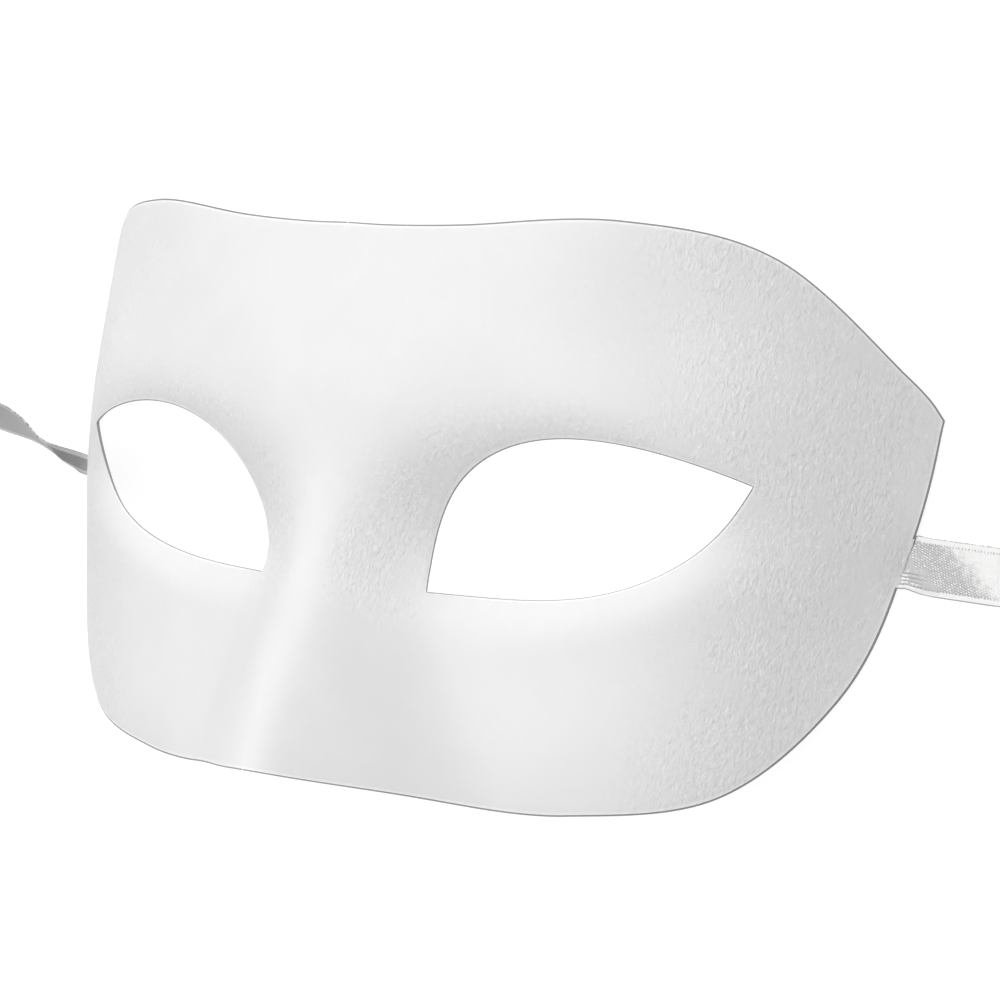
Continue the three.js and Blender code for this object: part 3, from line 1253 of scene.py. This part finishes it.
@dataclass
class GluedEnd:
    """The end of a ribbon, glued flat to the inner face inside the rim and then led to the ribbon's start."""

    name: str
    node: str
    side: Side
    form: FaceForm
    ribbon: Ribbon
    from_x: float = 0.074
    to_x: float = 0.0815
    y: float = 0.0047
    wall: float = 0.0005
    clearance: float = 0.0003
    glued_steps: int = 12
    free_steps: int = 14
    arrival_step: float = 0.2

    def glued(self, share: float) -> list[Vector]:
        """Finds the points across the end where it is glued.

        Args:
            share: the share of its glued length.

        Returns:
            The points.
        """
        x = self.side.value * lerp(self.from_x, self.to_x, share)
        columns, width = self.ribbon.columns, self.ribbon.width
        found = []
        for i in range(columns + 1):
            y = self.y - self.form.eye_line_y + self.side.value * (i / columns - 0.5) * width
            found.append(self.form.wall(x, y, self.wall + self.clearance))
        return found

    def build(self) -> bpy.types.Object:
        """Makes the glued end.

        Returns:
            The finished end, riding on the part's body.
        """
        sections = [self.glued(i / self.glued_steps) for i in range(self.glued_steps + 1)]
        last, before = sections[-1], sections[-2]
        start, after = self.ribbon.section(0), self.ribbon.section(self.arrival_step)
        for i in range(1, self.free_steps + 1):
            row = []
            for p, q, a, b in zip(last, before, start, after):
                reach = (a - p).length
                leave, arrive = (p - q).normalized() * reach, (b - a).normalized() * reach
                row.append(hermite(p, a, leave, arrive, i / self.free_steps))
            sections.append(row)
        piece = strip(self.name, sections, self.ribbon.width, self.ribbon.thickness, self.ribbon.faces)
        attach(piece, BODY)
        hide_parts(self.node)
        return piece


# A station gives x, y, foot, middle and crown, then creases, lift and slant; an even one x, y and one angle
RIGHT_ROUTE = (
    Station(0.0831, 0.0052, 4, 2, -5, 44, 0.0002, 0.2),
    Station(0.0841, 0.0052, 4, 2, -6, 46, 0.00025, 0.2),
    Station(0.0848, 0.0052, 4, 2, -6, 48, 0.00058, 0.2),
    Station(0.0857, 0.0052, 4, 1, -5, 48, 0.00058, 0.18),
    Station(0.0872, 0.0050, 3, 1, -4, 38, 0.00052, 0.12),
    Station(0.0889, 0.0048, 2, 0, -3, 16, 0.00044, 0.05),
    Station(0.091, 0.0047, 1, 0, -2, 0, 0.00034),
    Station(0.095, 0.0046, 0, 0, -1, 0, 0.00018),
    Station(0.099, 0.0045, 0, 0, 0, 0, 0.00008),
    even_station(0.102, 0.0045, 2),
    even_station(0.105, 0.0045, 8),
    even_station(0.108, 0.0045, 17),
    even_station(0.111, 0.0045, 28),
    even_station(0.114, 0.0045, 40),
    even_station(0.117, 0.0045, 52),
    even_station(0.120, 0.0045, 64),
    even_station(0.123, 0.0045, 74),
    even_station(0.126, 0.0045, 82),
    even_station(0.129, 0.0045, 88),
    even_station(0.132, 0.0045, 90),
    even_station(0.136, 0.0045, 90),
)
LEFT_ROUTE = (
    Station(-0.0833, 0.0063, 178, 2, 178),
    Station(-0.0851, 0.0065, 178, 2, 178),
    Station(-0.0865, 0.0067, 172, 10, 172),
    Station(-0.088, 0.0070, 148, 32, 148),
    Station(-0.089, 0.0072, 128, 64, 124),
    Station(-0.09, 0.0075, 115, 88, 112),
    Station(-0.092, 0.0082, 107, 101, 108),
    Station(-0.094, 0.0093, 107, 104, 110),
    Station(-0.097, 0.0108, 111, 110, 112),
    Station(-0.1, 0.0119, 114, 114, 114),
    Station(-0.103, 0.0127, 117, 117, 117),
    Station(-0.107, 0.0134, 118, 118, 118),
    Station(-0.11, 0.0140, 118, 118, 118),
    even_station(-0.112, 0.0146, 118),
    even_station(-0.114, 0.0152, 117),
    even_station(-0.117, 0.0161, 112),
    even_station(-0.120, 0.0169, 106),
    even_station(-0.122, 0.0175, 102),
    even_station(-0.124, 0.018, 97),
    even_station(-0.126, 0.0185, 93),
    even_station(-0.128, 0.019, 90),
    even_station(-0.132, 0.02006, 90),
)


# Camera and studio


@dataclass(frozen=True)
class PhotoView:
    """The camera at the photograph's viewing angle."""

    place: tuple[float, float, float] = (0.33741, -0.0764, 0.46088)
    aim: tuple[float, float, float] = (0.022473, 0.004093, 0.02286)
    roll_degrees: float = -66.304
    lens: float = 123.66
    sensor: float = 36.0
    nearest: float = 0.01
    farthest: float = 20.0

    def build(self) -> bpy.types.Object:
        """Adds the camera and makes it the scene's.

        Returns:
            The camera.
        """
        data = bpy.data.cameras.new("photo_view")
        data.lens, data.sensor_width, data.sensor_fit = self.lens, self.sensor, "HORIZONTAL"
        data.clip_start, data.clip_end = self.nearest, self.farthest
        camera = bpy.data.objects.new("photo_view", data)
        bpy.context.scene.collection.objects.link(camera)
        back = (Vector(self.place) - Vector(self.aim)).normalized()
        level = (-back).to_track_quat("-Z", "Y").to_matrix()
        rolled = level @ Matrix.Rotation(math.radians(self.roll_degrees), 3, "Z")
        camera.matrix_world = Matrix.Translation(self.place) @ rolled.to_4x4()
        bpy.context.scene.camera = camera
        return camera


@dataclass(frozen=True)
class SoftBox:
    """A large soft light."""

    name: str
    azimuth: float
    elevation: float
    power: float
    distance: float = 1.4
    size: float = 0.9

    def build(self) -> bpy.types.Object:
        """Adds the light, facing the part.

        Returns:
            The light.
        """
        turn, rise = math.radians(self.azimuth), math.radians(self.elevation)
        away = Vector((math.sin(turn) * math.cos(rise), -math.cos(turn) * math.cos(rise), math.sin(rise)))
        data = bpy.data.lights.new(self.name, "AREA")
        data.shape, data.size, data.energy = "DISK", self.size, self.power
        light = bpy.data.objects.new(self.name, data)
        bpy.context.scene.collection.objects.link(light)
        facing = away.to_track_quat("Z", "Y").to_matrix().to_4x4()
        light.matrix_world = Matrix.Translation(away * self.distance) @ facing
        return light


@dataclass
class Studio:
    """A pale floor, a faint white surround and the soft lights."""

    boxes: tuple[SoftBox, ...] = (
        SoftBox("top", 0.0, 85.0, 9.6),
        SoftBox("brow_side", 180.0, 50.0, 8.1),
        SoftBox("left_side", 270.0, 50.0, 3.8),
        SoftBox("left_low", 270.0, 18.0, 0.43),
        SoftBox("left_front", 315.0, 50.0, 0.35),
        SoftBox("right_front", 45.0, 50.0, 2.8),
    )
    floor_finish: FloorFinish = FloorFinish()
    floor_size: float = 6.0
    surround: float = 0.02

    def build(self) -> None:
        """Adds the floor, the surround and the lights."""
        bpy.ops.object.select_all(action="DESELECT")
        bpy.ops.mesh.primitive_plane_add(size=self.floor_size, location=(0, 0, 0))
        floor = bpy.context.object
        floor.name = "floor"
        floor.data.materials.append(self.floor_finish.build())
        world = bpy.data.worlds.new("surround")
        world.use_nodes = True
        background = world.node_tree.nodes["Background"]
        background.inputs["Color"].default_value = WHITE
        background.inputs["Strength"].default_value = self.surround
        bpy.context.scene.world = world
        bpy.context.scene.view_settings.view_transform = "Standard"
        for box in self.boxes:
            box.build()


def build_satin() -> tuple[bpy.types.Material, bpy.types.Material]:
    """Makes the ribbons' two faces.

    Returns:
        The materials of the front and of the reverse, whose colours are painted darker as shade and whose
        shine is lower.
    """
    front = SatinFinish()
    # The reverse's darker colours are painted shade
    reverse = SatinFinish(
        name="white_satin_reverse_shaded",
        soaked=(0.29, 0.29, 0.29, 1.0),
        painted_half_shadow=(0.31, 0.31, 0.31, 1.0),
        unshaded=(0.38, 0.38, 0.38, 1.0),
        edge=(0.6, 0.6, 0.6, 1.0),
        gap=(0.26, 0.26, 0.26, 1.0),
        specular=0.5,
    )
    return front.build(), reverse.build()


def main() -> None:
    """Builds the camera, the ribbons, the mask and the studio."""
    logging.basicConfig(level=logging.INFO, format="%(name)s: %(message)s")
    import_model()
    PhotoView().build()
    satin = build_satin()
    form = FaceForm()
    right = Ribbon(
        "ribbon_of_right_side",
        ("ribbon_right", "ribbon_roll_right"),
        RIGHT_ROUTE,
        Roll((0.140, -0.0252), 90.0, Winding.CLOCKWISE),
        satin,
    )
    left = Ribbon(
        "ribbon_of_left_side",
        ("ribbon_left", "ribbon_roll_left"),
        LEFT_ROUTE,
        Roll((-0.1435, -0.0076), 75.4, Winding.COUNTER_CLOCKWISE),
        satin,
    )
    for ribbon, side in ((right, Side.RIGHT), (left, Side.LEFT)):
        word = side.name.lower()
        end = GluedEnd(f"glued_end_{word}", f"ribbon_end_{word}", side, form, ribbon).build()
        LOG.info("%s: %d faces", end.name, len(end.data.polygons))
        piece = ribbon.build([end])
        LOG.info("%s: %d faces", piece.name, len(piece.data.polygons))
    shell = MaskShell(form, PlasticFinish(), CutEdgeShadeFinish()).build()
    LOG.info("%s: %d faces", shell.name, len(shell.data.polygons))
    Studio().build()


if __name__ == "__main__":
    main()
